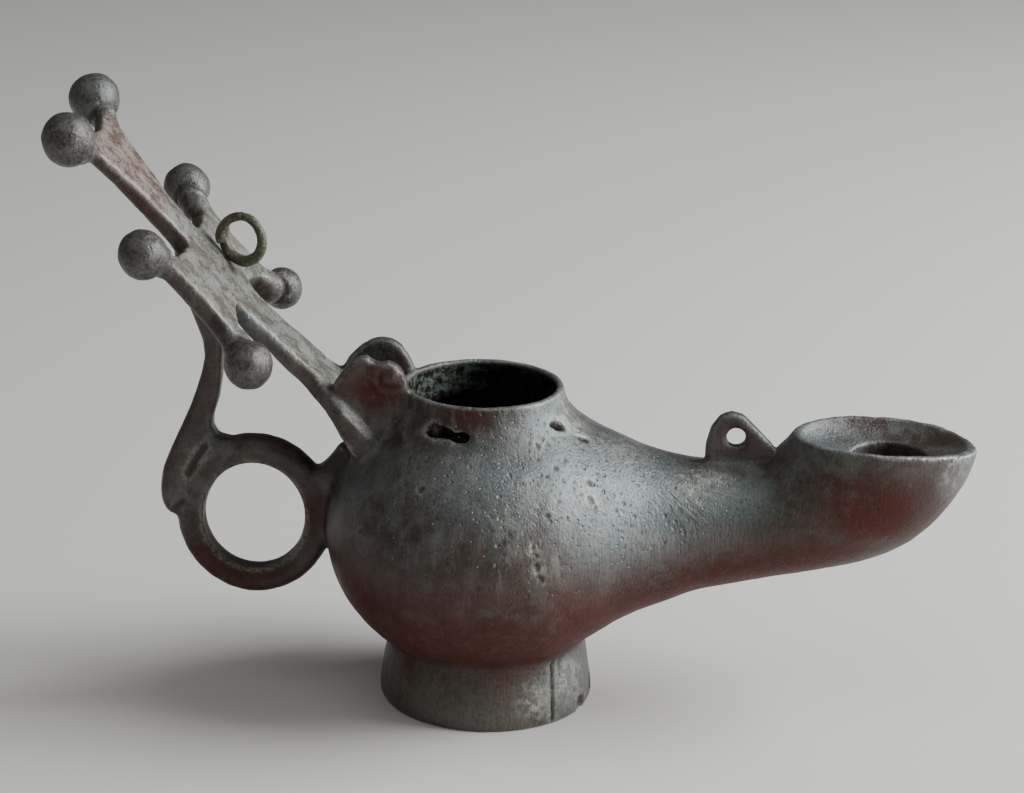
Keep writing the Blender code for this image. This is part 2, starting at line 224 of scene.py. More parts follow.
def regions(points, normals=None):
    """How much each point belongs to each place on the lamp, from 0 to 1."""
    x, y, z = points.T
    u = (points - CROSS) @ UP_ARM
    off = (points - CROSS) @ OFF_FACE
    found = {}
    rim_far = np.hypot((x - RIM[0]) / RIM_LONG, y / RIM_WIDE)
    out = (x - RIM[0]) / RIM_LONG
    droop = RIM_DROOP * np.minimum(np.abs(out), 1.0) ** 4 * np.where(out > 0, 1.0, 0.4)
    rim_level = RIM[2] - (x - RIM[0]) * RIM_TILT - droop
    rim_away = np.hypot((rim_far - 0.97) * 14.0, z - rim_level)
    found["rim"] = fade(rim_away, 3.2, 1.2)
    collar_away = np.hypot(x - COLLAR_X, y)
    found["collar"] = fade(z, 59.0, 61.5) * fade(collar_away, 24.0, 20.5)
    found["foot"] = fade(z, 14.5, 11.5) * fade(np.hypot(x, y), 30.0, 26.0)
    wick_far = np.hypot((x - WICK[0]) / WICK[1], y / WICK[2])
    found["wick"] = fade(wick_far, 1.35, 1.15) * fade(z, 46.0, 50.0)
    knob = np.zeros(len(points))
    for ku, kv, kn, r in KNOBS:
        away = np.linalg.norm(points - on_cross(ku, kv, kn), axis=1)
        knob = np.maximum(knob, fade(away, r + 3.5, r + 0.8))
    found["knob"] = knob
    found["cross"] = fade(np.abs(off + 0.3), 6.5, 4.0) * fade(x, -20.0, -26.0) * (1.0 - knob)
    bare = 1.0 - found["cross"]
    found["ring"] = fade(np.abs(from_ring(x, z)), 7.0, 4.0) * fade(x, -31.0, -34.0) * bare
    found["strut"] = fade(x, -48.0, -51.0) * fade(z, 36.0, 50.0) * bare * (1.0 - knob)
    lug = fade(np.hypot(x - LUG[0], z - LUG[1]), 13.0, 10.5)
    lug *= fade(z, 59.0, 62.0) * fade(np.abs(y), 4.4, 5.4)
    found["lug"] = lug * (1.0 - found["cross"] * (np.abs(y) < 5.0))
    eye = fade(np.hypot(x - SPOUT_LUG[0], z - SPOUT_LUG[1]), 10.0, 8.0)
    found["eye"] = eye * fade(np.abs(y), 3.0, 2.0) * fade(z, 51.0, 52.6)
    if normals is not None:
        inner_r = BODY_R - HALF_WALL
        aside = np.hypot(y / inner_r, (z - BODY[2]) / INNER_TALL)
        globe = np.hypot((x - BODY[0]) / inner_r, aside) < 1.0
        inward = normals[:, 1] * y + normals[:, 2] * (z - np.interp(x, BORE_X, BORE_Z)) < 0.0
        bore = (x >= BORE_X[0]) & (x < 91.0) & inward & (z < 49.5 + 2.0 * (x < 60.0))
        filling = (collar_away < COLLAR_R - 0.7) & (z > 50.0) & (z < COLLAR_TOP - 0.5)
        found["inside"] = (np.where(x < BORE_X[0], globe, bore) | filling).astype(float)
    found["off"] = off
    found["u"] = u
    return found


# Over how many millimetres the facets are evened out, in each place and elsewhere.
SOFT = {
    "ring": 1.1,
    "strut": 0.8,
    "foot": 0.9,
    "cross": 0.95,
    "knob": 1.0,
    "collar": 0.7,
    "lug": 0.45,
    "eye": 0.8,
    "rim": 0.5,
    "wick": 0.5,
}
SOFT_ELSEWHERE = 2.1


def softness(place):
    length = np.full(len(place["rim"]), SOFT_ELSEWHERE)
    for name, wanted in SOFT.items():
        length = length * (1.0 - place[name]) + wanted * place[name]
    return length


def even_out(mesh):
    """Takes the facets and the voxel steps off the skin, without shrinking it."""
    points = points_of(mesh)
    edges = edges_of(mesh)
    length = softness(regions(points))
    widest = length.max()
    rounds = int(math.ceil((widest / (0.66 * VOXEL)) ** 2))
    share = 0.85 * (length / widest) ** 2
    first = spread(points, edges, share, rounds)
    lost = spread(points - first, edges, share, rounds)
    done = first + lost
    flat = points[:, 2] < 0.35
    done[flat, 2] = points[flat, 2]
    set_points(mesh, done)


# The skin of the casting, with its finer forms, grown from the solid and evened out

# The lower arm widens where it meets the globe: its top and bottom in X and Z, and half its width.
FLARE_ROOT = 5.0
FLARE = [
    ((-39.0, 73.4), (-35.5, 65.4), 6.8),
    ((-35.5, 70.2), (-33.6, 63.2), 7.4),
    ((-33.0, 67.9), (-32.2, 61.6), 8.7),
    ((-31.0, 66.1), (-31.0, 60.2), 10.0),
    ((-28.7, 64.0), (-29.6, 58.3), 11.0),
    ((-26.0, 61.3), (-28.3, 56.5), 11.5),
    ((-23.6, 58.6), (-27.0, 54.2), 11.7),
    ((-22.2, 56.8), (-25.6, 52.6), 11.4),
    ((-21.0, 55.6), (-25.0, 51.9), 10.6),
]
# Where each knob's neck is thickest, up the arm, across and off the face, and its radius there.
NECKS = [
    (36.2, -13.4, 0.2, 3.1),
    (37.2, 13.4, 0.2, 3.1),
    (11.6, -22.6, -0.4, 3.3),
    (11.8, 22.8, -0.4, 3.1),
    (-12.0, -22.4, -0.4, 3.2),
    (-11.6, 21.9, -0.9, 3.5),
    (-9.6, 20.4, -0.7, 3.1),
    (10.0, 20.4, -0.5, 2.8),
]


def add_flare(bm, side):
    """One side of the lower arm's wider end, with a worn edge along its top."""
    rows = []
    for (top_x, top_z), (low_x, low_z), wide in FLARE:
        lean = Vector((low_x - top_x, 0.0, low_z - top_z)).normalized()
        top = Vector((top_x, 0.0, top_z))
        low = Vector((low_x, 0.0, low_z))
        out = Vector((0.0, side, 0.0))
        row = [
            top + out * FLARE_ROOT,
            top + out * (wide - 2.0),
            top + lean * 1.5 + out * wide,
            low + out * wide,
            low + out * FLARE_ROOT,
        ]
        rows.append([bm.verts.new(((p.x + SHIFT_X) * MM, p.y * MM, p.z * MM)) for p in row])
    count = len(rows[0])
    for first, second in zip(rows, rows[1:]):
        for k in range(count):
            bm.faces.new((first[k], first[(k + 1) % count], second[(k + 1) % count], second[k]))
    bm.faces.new(rows[0])
    bm.faces.new(reversed(rows[-1]))


def add_forms(thing):
    """Joins the finer forms to the casting. The even skin then makes one body of them all."""
    bm = bmesh.new()
    for side in (-1.0, 1.0):
        add_flare(bm, side)
    for u, v, off, radius in NECKS:
        middle = on_cross(u, v, off)
        place = Matrix.Translation(((middle[0] + SHIFT_X) * MM, middle[1] * MM, middle[2] * MM))
        bmesh.ops.create_icosphere(bm, subdivisions=3, radius=radius * MM, matrix=place)
    bmesh.ops.recalc_face_normals(bm, faces=bm.faces)
    bm.from_mesh(thing.data)
    bm.to_mesh(thing.data)
    bm.free()


lamp = merged_copy("lamp", "lamp_casting")
add_forms(lamp)
even_skin(lamp, VOXEL)
even_out(lamp.data)


# Relief of the skin: wear, pits, chips, holes, cracks and ridges
def near_line(points, line):
    """The distance from each point to a bent line of points."""
    best = np.full(len(points), 1e9)
    for start, end in zip(line, line[1:]):
        start, end = np.array(start), np.array(end)
        along = end - start
        part = np.clip((points - start) @ along / (along @ along), 0.0, 1.0)
        best = np.minimum(best, np.linalg.norm(points - start - part[:, None] * along, axis=1))
    return best


def bell(value, width):
    return np.exp(-((value / width) ** 2))


# Corrosion chips in the globe and the foot: where, how wide and how deep.
CHIPS = [
    ((20.0, -16.7, 52.1), 0.9, 0.3),
    ((20.5, -19.2, 49.3), 1.1, 0.35),
    ((20.9, -19.6, 47.9), 0.6, 0.3),
    ((16.2, -24.2, 46.9), 0.6, 0.25),
    ((9.8, -29.3, 43.1), 0.9, 0.35),
    ((10.3, -29.4, 41.4), 0.6, 0.3),
    ((10.5, -30.0, 38.8), 1.0, 0.3),
    ((11.6, -29.4, 36.6), 0.8, 0.35),
    ((12.6, -29.0, 37.8), 0.6, 0.3),
    ((-12.2, -24.0, 51.9), 0.9, 0.28),
    ((-11.8, -19.5, 56.2), 0.6, 0.25),
    ((-23.9, -21.3, 42.0), 0.6, 0.35),
    ((9.5, -16.3, 58.6), 0.8, 0.35),
    ((-3.0, -21.0, 56.5), 0.6, 0.25),
    ((2.0, -28.5, 48.5), 0.5, 0.25),
    ((6.0, -27.0, 47.8), 0.5, 0.25),
    ((8.0, -22.5, 54.0), 0.5, 0.25),
    ((43.0, -13.3, 41.3), 0.5, 0.2),
    ((90.5, -9.1, 56.2), 0.7, 0.35),
    ((92.2, -7.9, 56.6), 0.6, 0.35),
    ((19.6, -8.6, 1.4), 2.0, 0.8),
    ((20.9, 6.0, 0.8), 1.6, 0.5),
    ((-12.0, 18.0, 0.6), 2.0, 0.6),
    ((-8.0, 29.0, 45.0), 1.2, 0.4),
    ((12.0, 27.5, 40.0), 1.0, 0.4),
    ((30.0, 16.0, 46.0), 1.0, 0.35),
]
# The ragged lips of the holes below the collar: a line, its half width and its depth.
LEAKS = [
    ([(-10.9, -15.6, 61.3), (-8.9, -15.3, 60.9)], 1.15, 1.7),
    ([(-8.9, -15.5, 60.8), (-6.0, -16.0, 60.3)], 0.9, 1.6),
    ([(-6.2, -15.9, 60.0), (-4.4, -16.3, 59.7)], 1.15, 1.7),
    ([(13.2, -9.8, 61.0), (14.1, -9.1, 60.6)], 0.85, 1.6),
    ([(12.2, -10.8, 61.4), (13.2, -9.8, 61.0)], 0.4, 0.8),
    ([(17.9, -8.0, 58.0), (19.0, -7.3, 57.5)], 0.5, 1.4),
]
# Cracks and tool marks: a line, its half width and its depth.
CUTS = [
    ([(13.6, -14.4, 13.4), (13.9, -15.0, 10.0), (14.1, -15.6, 7.0), (14.1, -16.2, 0.0)], 0.3, 0.75),
    ([(15.2, -13.0, 13.2), (15.4, -13.6, 9.0)], 0.25, 0.25),
    ([(-57.2, -2.6, 51.6), (-59.2, -2.6, 48.6), (-60.6, -2.6, 45.6)], 0.6, 0.5),
    ([(-61.5, -2.6, 40.0), (-63.4, -2.6, 38.4)], 0.5, 0.35),
    ([(11.0, -17.0, 12.2), (13.0, -15.6, 11.4)], 0.2, 0.2),
    ([(10.6, -17.3, 11.4), (12.8, -15.8, 10.5)], 0.2, 0.2),
]
# The rusted end of the hinge pin, in X and Z
PIN = (-19.4, 69.3)


def globe_wear(points, place, plain):
    """Hills, pits and chips of the cast skin."""
    x, y, z = points.T
    move = 0.15 * rolling(points, 15.0, 1) * plain + 0.08 * rolling(points, 7.0, 2)
    move += 0.045 * rolling(points, 3.2, 3) + 0.03 * rolling(points, 1.5, 4)
    shoulder = fade(z, 26.0, 44.0) * plain * fade(x, -26.0, -6.0) * fade(x, 44.0, 26.0)
    patchy = fade(rolling(points, 6.0, 7), -0.5, 0.5)
    small = pitted(points, 2.1, 0.1, 1.0, 11)
    move -= 0.30 * fade(small, 0.0, 0.7) * (0.12 + 0.88 * shoulder * patchy)
    fine = pitted(points, 1.3, 0.1, 0.62, 21)
    move -= 0.2 * fade(fine, 0.0, 0.7) * (0.2 + 0.8 * shoulder)
    tall = np.stack([x, y, z * 0.16], axis=1)
    move += 0.05 * rolling(tall, 1.1, 5) * shoulder
    shaken = points + 0.55 * np.stack([rolling(points, 1.2, 31 + k) for k in range(3)], axis=1)
    for spot, radius, depth in CHIPS:
        away = np.linalg.norm((shaken - np.array(spot)) * (1.0, 1.0, 0.75), axis=1)
        move -= depth * fade(away, 0.85 * radius, 0.5 * radius)
        move += 0.07 * bell(away - radius, 0.25)
    return move


def handle_work(points, normals, place):
    """The ridges of the finger ring, and the file marks on the faces of the cross."""
    x, y, z = points.T
    around = np.abs(np.degrees(np.arctan2(y, from_ring(x, z))))
    ridges = 0.42 * bell(around - 138.0, 13.0) - 0.16 * bell(around - 95.0, 24.0)
    ridges -= 0.12 * bell(around - 180.0, 20.0)
    move = place["ring"] * ridges
    u, v, off = place["u"], y, place["off"]
    flat = np.stack([u / 5.0, v / 0.55 + u * 0.18, off * 0.4], axis=1)
    face = place["cross"] * fade(np.abs(normals @ OFF_FACE), 0.75, 0.92)
    move += 0.035 * rolling(flat, 1.0, 41) * face
    broad = np.stack([u / 9.0, v / 1.6, off * 0.2], axis=1)
    move += 0.07 * rolling(broad, 1.0, 42) * face
    dents = pitted(points, 3.0, 0.2, 1.1, 51)
    move -= 0.2 * fade(dents, 0.0, 0.9) * place["cross"]
    move += (0.12 * rolling(points, 4.0, 45) + 0.06 * rolling(points, 1.6, 46)) * place["cross"]
    for (ku, kv, kn, r), deep in zip(KNOBS, KNOB_GROOVES):
        middle = on_cross(ku, kv, kn)
        inward = on_cross(ku * 0.86, kv * 0.72, kn) - middle
        inward /= np.linalg.norm(inward)
        along = (points - middle) @ inward
        aside = np.linalg.norm(points - middle - along[:, None] * inward, axis=1)
        near = fade(aside, r + 0.6, r - 0.4)
        ball = fade(np.linalg.norm(points - middle, axis=1), r + 1.6, r + 0.6)
        lumpy = 0.16 * rolling(points, 3.6, 43) + 0.07 * rolling(points, 1.4, 44)
        move += ball * (lumpy - 0.2 * fade(pitted(points, 2.0, 0.1, 0.9, 52), 0.0, 0.8))
        move -= deep * bell(along - 0.86 * r, 0.38) * near
        move += 0.12 * bell(along - 1.05 * r, 0.45) * near
    return move


def lug_work(points, normals, place):
    """The pin's rusted end on the near lug, a narrower eye in the spout lug, and fine roughness on the
    hinge lugs.
    """
    x, y, z = points.T
    away = np.hypot(x - PIN[0], z - PIN[1])
    near = fade(y, -5.6, -6.4) * fade(-normals[:, 1], 0.2, 0.6) * place["lug"]
    rough = 1.0 + 0.3 * rolling(points, 1.1, 61)
    lump = 0.45 * fade(away * rough, 1.7, 0.7) - 0.15 * bell(away - 2.1, 0.5)
    lump += 0.35 * fade(away, 4.4, 2.8)
    move = near * lump
    hole = np.hypot(x - SPOUT_EYE[0], z - SPOUT_EYE[1])
    move += 0.22 * fade(hole, 2.9, 2.5) * fade(np.abs(y), 2.4, 1.6) * fade(np.abs(normals[:, 1]), 0.8, 0.4)
    return move + 0.06 * rolling(points, 1.2, 62) * place["lug"]


def relief(points, normals, place):
    """How far each point of the skin moves outwards, in millimetres."""
    free = 1.0 - place["inside"]
    busy = ("cross", "lug", "eye", "collar", "rim", "foot")
    plain = 1.0 - np.maximum.reduce([place[name] for name in busy])
    move = globe_wear(points, place, plain)
    move += handle_work(points, normals, place) + lug_work(points, normals, place)
    for line, width, depth in LEAKS + CUTS:
        away = near_line(points, line) * (1.0 + 0.18 * rolling(points, 1.3, 71))
        move -= depth * fade(away, 1.25 * width, 0.55 * width)
    lips = np.maximum(place["rim"], place["collar"])
    move += 0.10 * rolling(points, 2.4, 81) * lips + 0.08 * rolling(points, 5.0, 82) * place["foot"]
    return move * free


def carve(thing):
    mesh = thing.data
    points = points_of(mesh)
    normals = normals_of(mesh)
    place = regions(points, normals)
    points += normals * relief(points, normals, place)[:, None]
    points[:, 2] = np.maximum(points[:, 2], 0.0)
    edges = edges_of(mesh)
    points = spread(points, edges, np.full(len(points), 0.5), 1)
    set_points(mesh, points)


def thin_out(thing, most):
    """Merges triangles where the skin is plain, until few enough are left."""
    triangles = sum(len(face.vertices) - 2 for face in thing.data.polygons)
    if triangles > most:
        step = thing.modifiers.new("thin out", "DECIMATE")
        step.ratio = most / triangles
        finish_modifiers(thing)
    for face in thing.data.polygons:
        face.use_smooth = True


# Patches of patina on the skin, with painted sheen among the grey ones, painted shade among the dark ones
# and painted shade on the red undersides: the middle, how far each reaches, its stretch along X, and its
# strength.
DABS = {
    "red": [
        ((-22.0, -9.0, 67.0), 8.0, 1.0, 0.9),
        ((-2.0, -22.0, 17.0), 20.0, 1.6, 0.75),
        ((-13.0, -17.0, 12.0), 9.0, 1.0, 0.8),
        ((75.0, -10.0, 46.0), 13.0, 1.3, 0.9),
        ((45.0, 0.0, 26.0), 16.0, 2.0, 0.9),
        ((-22.0, -16.0, 24.0), 20.0, 1.1, 1.0),
        ((-5.0, -17.0, 64.0), 6.0, 1.5, 0.5),
        ((-52.0, 0.0, 27.0), 14.0, 1.5, 0.7),
        ((-36.0, 0.0, 37.0), 9.0, 1.0, 0.6),
        ((-90.0, -18.0, 110.0), 8.0, 1.0, 0.2),
        ((-62.0, -30.0, 93.0), 7.0, 1.0, 0.2),
        ((-72.0, -6.0, 101.0), 14.0, 1.0, 0.45),
    ],
    "green": [
        ((-82.0, 15.0, 117.0), 9.0, 1.0, 1.0),
        ((-64.0, 26.0, 97.0), 8.0, 1.0, 0.9),
        ((-45.0, 26.0, 77.0), 7.0, 1.0, 0.4),
        ((14.0, -9.0, 60.0), 9.0, 1.3, 0.8),
        ((-3.0, -17.0, 59.0), 4.0, 3.2, 0.5),
        ((-2.0, 10.0, 62.0), 14.0, 1.2, 0.9),
        ((52.0, -9.0, 48.0), 10.0, 2.0, 0.35),
        ((13.0, -16.0, 6.0), 9.0, 1.0, 0.65),
        ((-8.0, -20.0, 7.0), 12.0, 1.3, 0.4),
        ((-24.0, 8.0, 70.0), 7.0, 1.0, 0.5),
        ((-54.0, 0.0, 88.0), 9.0, 1.2, 0.45),
        ((2.4, -30.8, 42.5), 4.0, 0.8, 0.4),
        ((-58.0, 0.0, 52.0), 7.0, 1.0, 0.3),
        ((-16.0, -20.0, 54.0), 9.0, 1.2, 0.4),
    ],
    # Grey patches: grey patina, and a painted sheen where the window's highlight falls on the right
    # shoulder, the spout and the foot.
    "grey_and_sheen": [
        ((26.0, -14.0, 50.0), 26.0, 1.3, 1.0),
        ((2.0, -24.0, 52.0), 14.0, 1.6, 0.8),
        ((14.0, -12.0, 64.0), 10.0, 1.2, 1.0),
        ((16.0, -12.0, 8.0), 11.0, 1.0, 1.0),
        ((-4.0, -20.0, 6.0), 12.0, 1.4, 0.5),
        ((70.0, 0.0, 57.0), 11.0, 1.8, 0.8),
        ((95.0, -6.0, 52.0), 11.0, 1.0, 1.0),
        ((46.0, -10.0, 47.0), 9.0, 1.5, 0.9),
        ((-46.0, 0.0, 80.0), 12.0, 1.4, 0.7),
        ((20.0, 16.0, 50.0), 24.0, 1.3, 0.7),
        ((-24.0, -14.0, 50.0), 11.0, 1.0, 0.5),
    ],
    "pale": [
        ((17.0, -6.0, 62.0), 7.0, 1.5, 0.9),
        ((26.0, -6.0, 58.0), 7.0, 1.6, 0.7),
        ((42.0, -8.0, 50.0), 7.0, 1.3, 0.9),
        ((17.0, -11.0, 8.0), 7.0, 1.0, 0.9),
        ((10.5, -18.0, 6.0), 5.5, 1.0, 0.6),
        ((-78.0, 4.0, 106.0), 7.0, 1.0, 0.8),
        ((-56.0, 14.0, 88.0), 9.0, 1.0, 0.7),
        ((-12.2, -24.0, 51.9), 1.6, 1.0, 0.9),
        ((10.5, -29.6, 38.2), 2.4, 1.0, 0.9),
        ((9.8, -29.3, 42.6), 1.8, 1.0, 0.9),
        ((20.4, -19.0, 49.0), 2.0, 1.0, 0.9),
        ((20.0, -16.7, 52.1), 1.4, 1.0, 0.9),
        ((5.0, -27.5, 47.0), 6.0, 1.2, 0.35),
        ((93.0, -8.0, 53.0), 7.0, 1.0, 0.7),
    ],
    "dark_patina_and_shade": [
        ((-3.0, -17.0, 63.0), 9.0, 1.7, 1.0),
        ((-47.5, 0.0, 36.9), 22.0, 1.0, 0.25),
        ((-64.0, 0.0, 58.0), 16.0, 1.0, 0.4),
        # Painted shade on the far hinge lug.
        ((-24.0, 8.0, 70.0), 7.0, 1.0, 0.9),
        ((60.0, -10.0, 44.0), 13.0, 1.4, 0.8),
        ((84.0, -10.0, 47.0), 12.0, 1.3, 0.85),
        ((66.0, -6.0, 40.0), 9.0, 2.0, 0.7),
        ((-4.0, -20.0, 10.0), 9.0, 1.0, 0.8),
        ((49.0, 0.0, 57.0), 8.0, 1.0, 1.0),
        ((-14.0, -26.0, 36.0), 12.0, 1.2, 0.5),
    ],
}


def proudness(points, normals, edges, rounds):
    """How far each point stands out from the evened skin, in millimetres."""
    even = spread(points, edges, np.full(len(points), 0.8), rounds)
    return ((points - even) * normals).sum(axis=1)


def keep_marks(thing, before):
    """Keeps on the skin where it is worn, hollow or tinted, and where shade and sheen are painted, for the
    material to read.
    """
    mesh = thing.data
    points = points_of(mesh)
    normals = normals_of(mesh)
    edges = edges_of(mesh)
    x, _, z = points.T
    place = regions(points, normals)
    rounds = int(round((1.0 / VOXEL) ** 2 * 2.5))
    bend = proudness(before, normals, edges, rounds)
    rough = proudness(points, normals, edges, rounds) - bend
    sunk = ((before - points) * normals).sum(axis=1)
    handle = np.maximum(place["ring"], place["strut"])
    marks = {
        # Convex edges: worn metal, also painted paler as a highlight along them.
        "edge": fade(bend, 0.17, 0.36) * (1.0 - place["knob"]) * (1.0 - 0.7 * handle),
        "proud": fade(rough, 0.015, 0.09),
        # Creases and pits, darkened as painted shade.
        "crease_shade": fade(-bend, 0.16, 0.45) * (1.0 - 0.8 * place["foot"]),
        "pit": fade(-rough, 0.02, 0.12),
        # Painted shade, near black, where the carving is deep: the holes and cracks.
        "deep": fade(sunk, 0.7, 1.4),
    }
    for name, less in (("wick", 0.8), ("lug", 0.6), ("collar", 0.5), ("eye", 0.6)):
        marks["edge"] *= 1.0 - less * place[name]
    marks["proud"] *= 1.0 - 0.8 * place["lug"]
    for name, dabs in DABS.items():
        total = np.zeros(len(points))
        for spot, reach, stretch, strength in dabs:
            away = np.linalg.norm((points - np.array(spot)) / (stretch, 1.0, 1.0), axis=1)
            total = np.maximum(total, strength * fade(away, reach, 0.25 * reach))
        marks[name] = total
    # Painted shade, with a painted reddish reflection from below, on the downward faces of the lower body;
    # it joins the red patina, which is kept off faces that look up.
    below = fade(normals[:, 2], 0.3, -0.6) * fade(z, 9.0, 16.0) * fade(x, -34.0, -28.0)
    below *= 1.0 - 0.5 * fade(x, 60.0, 80.0)
    marks["red"] = np.maximum(marks["red"] * fade(normals[:, 2], 0.9, 0.3), below)
    # Inside the lamp, darkened as painted shade.
    inside = spread(place["inside"][:, None], edges, np.full(len(points), 0.8), 6)
    marks["inside"] = fade(inside[:, 0], 0.1, 0.9)
    marks["globe"] = fade(z, 20.0, 46.0) * fade(x, -30.0, -4.0) * fade(x, 60.0, 30.0)
    # The cross's faces turned toward the window light; their paler tone is partly their own filed colour,
    # partly painted light.
    marks["face"] = place["cross"] * fade(normals @ OFF_FACE, 0.6, 0.9)
    marks["scratch"] = fade(near_line(points, [(34.0, -10.0, 49.5), (41.5, -12.6, 43.8)]), 5.0, 1.0)
    marks["knob"] = place["knob"]
    marks["foot"] = place["foot"] * fade(z, 15.0, 4.0)
    marks["mouth"] = place["inside"] * fade(x, 0.0, -14.0) * fade(z, 54.0, 62.0)
    for name, values in marks.items():
        layer = mesh.attributes.new(name, "FLOAT", "POINT")
        layer.data.foreach_set("value", values.astype(np.float32))


smooth_skin = points_of(lamp.data)
carve(lamp)
keep_marks(lamp, smooth_skin)
thin_out(lamp, MOST_TRIANGLES)
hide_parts("lamp")
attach(lamp, "root")


# Materials
def tone(red, green, blue):
    """A colour as the eye sees it, 0 to 255, made into the one that the light is worked out with."""
    out = []
    for part in (red, green, blue):
        part /= 255.0
        out.append(part / 12.92 if part <= 0.04045 else ((part + 0.055) / 1.055) ** 2.4)
    return (*out, 1.0)


# The colour sockets of a Mix node, past those of its other kinds of data
MIX_FIRST, MIX_SECOND, MIX_RESULT = 6, 7, 2


class Finish:
    """A material and short ways to add its nodes."""

    def __init__(self, name):
        self.material = bpy.data.materials.new(name)
        self.material.use_nodes = True
        self.tree = self.material.node_tree
        self.shader = self.tree.nodes["Principled BSDF"]
        self.coords = self.tree.nodes.new("ShaderNodeTexCoord").outputs["Object"]

    def join(self, source, target):
        if isinstance(source, bpy.types.NodeSocket):
            self.tree.links.new(source, target)
        else:
            target.default_value = source

    def mapped(self, vector, key, value):
        node = self.tree.nodes.new("ShaderNodeMapping")
        node.inputs[key].default_value = value
        self.join(vector, node.inputs["Vector"])
        return node.outputs["Vector"]

    def noise(self, per_mm, detail=4.0, rough=0.55, stretch=None, warp=0.0, turned=None):
        vector = self.coords
        if turned:
            vector = self.mapped(vector, "Rotation", turned)
        if stretch:
            vector = self.mapped(vector, "Scale", stretch)
        node = self.tree.nodes.new("ShaderNodeTexNoise")
        node.inputs["Scale"].default_value = 1000.0 * per_mm
        node.inputs["Detail"].default_value = detail
        node.inputs["Roughness"].default_value = rough
        node.inputs["Distortion"].default_value = warp
        self.join(vector, node.inputs["Vector"])
        return node.outputs["Fac"]

    def cells(self, per_mm):
        node = self.tree.nodes.new("ShaderNodeTexVoronoi")
        node.inputs["Scale"].default_value = 1000.0 * per_mm
        self.join(self.coords, node.inputs["Vector"])
        return node.outputs["Distance"], node.outputs["Color"]

    def part(self, axis, of=None):
        node = self.tree.nodes.new("ShaderNodeSeparateXYZ")
        self.join(of or self.coords, node.inputs["Vector"])
        return node.outputs[axis]

    def math(self, operation, first, second=0.0):
        node = self.tree.nodes.new("ShaderNodeMath")
        node.operation = operation
        self.join(first, node.inputs[0])
        self.join(second, node.inputs[1])
        return node.outputs["Value"]

    def ramp(self, value, low, high, first=0.0, last=1.0):
        node = self.tree.nodes.new("ShaderNodeMapRange")
        node.interpolation_type = "SMOOTHSTEP"
        self.join(value, node.inputs["Value"])
        for key, number in (("From Min", low), ("From Max", high), ("To Min", first), ("To Max", last)):
            node.inputs[key].default_value = number
        return node.outputs["Result"]

    def mix(self, share, first, second, blend="MIX"):
        node = self.tree.nodes.new("ShaderNodeMix")
        node.data_type = "RGBA"
        node.blend_type = blend
        self.join(share, node.inputs["Factor"])
        self.join(first, node.inputs[MIX_FIRST])
        self.join(second, node.inputs[MIX_SECOND])
        return node.outputs[MIX_RESULT]

    def attribute(self, name):
        node = self.tree.nodes.new("ShaderNodeAttribute")
        node.attribute_name = name
        return node.outputs["Fac"]

    def bump(self, height, depth_mm, under=None):
        node = self.tree.nodes.new("ShaderNodeBump")
        node.inputs["Strength"].default_value = 1.0
        node.inputs["Distance"].default_value = depth_mm * MM
        self.join(height, node.inputs["Height"])
        if under:
            self.join(under, node.inputs["Normal"])
        return node.outputs["Normal"]


